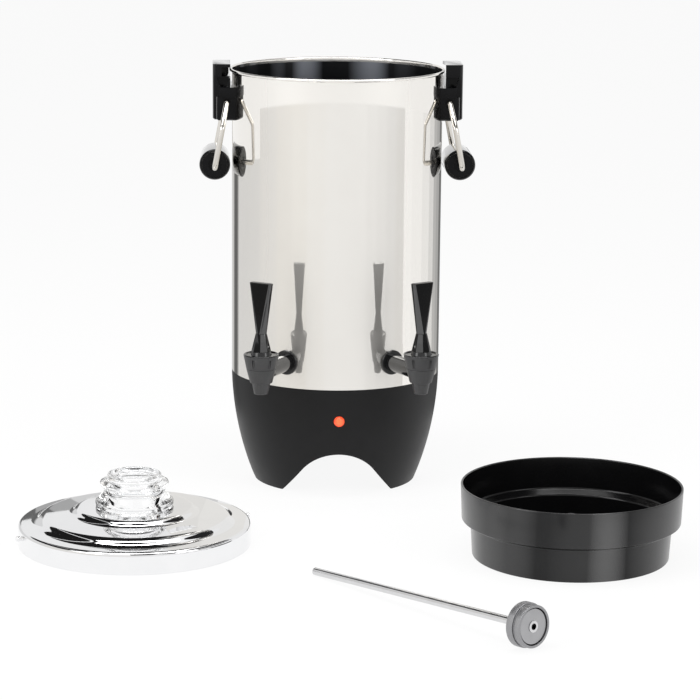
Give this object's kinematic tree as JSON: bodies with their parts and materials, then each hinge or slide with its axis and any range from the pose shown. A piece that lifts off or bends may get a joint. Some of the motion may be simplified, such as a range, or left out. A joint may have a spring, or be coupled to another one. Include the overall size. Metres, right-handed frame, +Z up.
{
  "type": "coffee urn",
  "caption": "Electric percolator urn with lever taps, folding side grips and a lock-on lid, with its lid, coffee basket and pump tube set out beside it.",
  "frame": {"origin": "on the surface that the urn stands on, on the axis of the tank", "axes": "+Z up along the tank's axis, -Y towards the front with the taps and the lamp, +X to the right as seen from the front"},
  "size_m": [0.6422, 0.7229, 0.4425],
  "materials": {
    "polished_steel": "polished stainless sheet",
    "inner_steel": "pressed stainless sheet",
    "plain_steel": "plain",
    "skirt_plastic": "fine satin moulding",
    "bracket_plastic": "satin moulding",
    "grip_plastic": "satin moulding",
    "tap_plastic": "satin moulding",
    "lever_plastic": "gloss",
    "bail_wire": "bright plated wire",
    "lid_metal": "bright plated sheet",
    "knob_clear": "clear moulding",
    "basket_plastic": "satin moulding",
    "pump_metal": "drawn and polished",
    "foot_metal": "fine satin",
    "valve_metal": "bright",
    "seal_rubber": "moulded",
    "lens_red": "clear red lens",
    "lamp_glass": "glass",
    "element_metal": "dull",
    "thermostat_ceramic": "ceramic look",
    "lead_cover": "braided cover",
    "inlet_plastic": "moulded",
    "pin_brass": "plated"
  },
  "bodies": {
    "urn": {"tank_shell": "polished_steel", "tank_floor": "inner_steel", "floor_studs": "plain_steel", "floor_nuts": "plain_steel", "shield_stud": "plain_steel", "shield_nut": "plain_steel", "heat_shield": "inner_steel", "heating_element": "element_metal", "keep_warm_element": "element_metal", "thermostat": "thermostat_ceramic", "thermal_fuse": "plain_steel", "base_skirt": "skirt_plastic", "bottom_cover": "plain_steel", "cover_screws": "plain_steel", "power_inlet": "inlet_plastic", "inlet_pins": "pin_brass", "indicator_lens": "lens_red", "lamp": "lamp_glass", "leads": "lead_cover", "bracket_left": "bracket_plastic", "bracket_rivets_left": "plain_steel", "tap_left_body": "tap_plastic", "tap_left_bonnet": "tap_plastic", "tap_left_outer_washer": "seal_rubber", "tap_left_inner_washer": "seal_rubber", "tap_left_nut": "tap_plastic", "bracket_right": "bracket_plastic", "bracket_rivets_right": "plain_steel", "tap_right_body": "tap_plastic", "tap_right_bonnet": "tap_plastic", "tap_right_outer_washer": "seal_rubber", "tap_right_inner_washer": "seal_rubber", "tap_right_nut": "tap_plastic"},
    "tap_left_valve": {"tap_left_stem": "plain_steel", "tap_left_seat_cup": "seal_rubber", "tap_left_spring": "plain_steel"},
    "tap_left_handle": {"tap_left_lever": "lever_plastic", "tap_left_pin": "plain_steel"},
    "bail_left": {"bail_left": "bail_wire"},
    "grip_left": {"grip_left": "grip_plastic"},
    "tap_right_valve": {"tap_right_stem": "plain_steel", "tap_right_seat_cup": "seal_rubber", "tap_right_spring": "plain_steel"},
    "tap_right_handle": {"tap_right_lever": "lever_plastic", "tap_right_pin": "plain_steel"},
    "bail_right": {"bail_right": "bail_wire"},
    "grip_right": {"grip_right": "grip_plastic"},
    "lid": {"lid_shell": "lid_metal", "lid_studs": "lid_metal"},
    "knob": {"lid_knob": "knob_clear"},
    "basket": {"basket": "basket_plastic"},
    "pump": {"pump_tube": "pump_metal", "pump_base": "foot_metal"},
    "valve_disc": {"pump_valve": "valve_metal"}
  },
  "joints": [
    {"name": "tap_left_lift", "type": "slide", "parent": "urn", "child": "tap_left_valve", "axis": [0, 0, 1], "range_m": [0, 0.004], "deforming": ["tap_left_spring"]},
    {"name": "tap_left_lever", "type": "hinge", "parent": "tap_left_valve", "child": "tap_left_handle", "pos_m": [-0.081, -0.14375, 0.1706], "axis": [0.8712, -0.4909, 0], "range_deg": [0, 25], "stiffness_Nm_per_rad": 0.3, "springref_deg": -17.19},
    {"name": "bail_left_swing", "type": "hinge", "parent": "urn", "child": "bail_left", "pos_m": [-0.1155, 0, 0.404], "axis": [0, 1, 0], "range_deg": [0, 160]},
    {"name": "grip_left_spin", "type": "hinge", "parent": "bail_left", "child": "grip_left", "pos_m": [-0.1278, 0, 0.33865], "axis": [0, 1, 0], "continuous": true},
    {"name": "tap_right_lift", "type": "slide", "parent": "urn", "child": "tap_right_valve", "axis": [0, 0, 1], "range_m": [0, 0.004], "deforming": ["tap_right_spring"]},
    {"name": "tap_right_lever", "type": "hinge", "parent": "tap_right_valve", "child": "tap_right_handle", "pos_m": [0.081, -0.14375, 0.1706], "axis": [0.8712, 0.4909, 0], "range_deg": [0, 25], "stiffness_Nm_per_rad": 0.3, "springref_deg": -17.19},
    {"name": "bail_right_swing", "type": "hinge", "parent": "urn", "child": "bail_right", "pos_m": [0.1155, 0, 0.404], "axis": [0, -1, 0], "range_deg": [0, 160]},
    {"name": "grip_right_spin", "type": "hinge", "parent": "bail_right", "child": "grip_right", "pos_m": [0.1278, 0, 0.33865], "axis": [0, 1, 0], "continuous": true},
    {"name": "lid_lift", "type": "slide", "parent": "urn", "child": "lid", "axis": [0, 0, 1], "range_m": [0, 0.3]},
    {"name": "knob_turn", "type": "hinge", "parent": "lid", "child": "knob", "pos_m": [-0.206, -0.2593, 0.03], "axis": [0, 0, 1], "range_deg": [0, 90]},
    {"name": "basket_lift", "type": "slide", "parent": "urn", "child": "basket", "axis": [0, 0, 1], "range_m": [0, 0.3]},
    {"name": "pump_lift", "type": "slide", "parent": "urn", "child": "pump", "axis": [0, 0, 1], "range_m": [0, 0.3]},
    {"name": "valve_disc_slide", "type": "slide", "parent": "pump", "child": "valve_disc", "axis": [-0.6255, 0.7779, -0.0597], "range_m": [0, 0.003]}
  ],
  "couplings": [
    {"joint": "tap_left_lift", "follows": "tap_left_lever", "m_per_rad": 0.009},
    {"joint": "tap_right_lift", "follows": "tap_right_lever", "m_per_rad": 0.009}
  ]
}
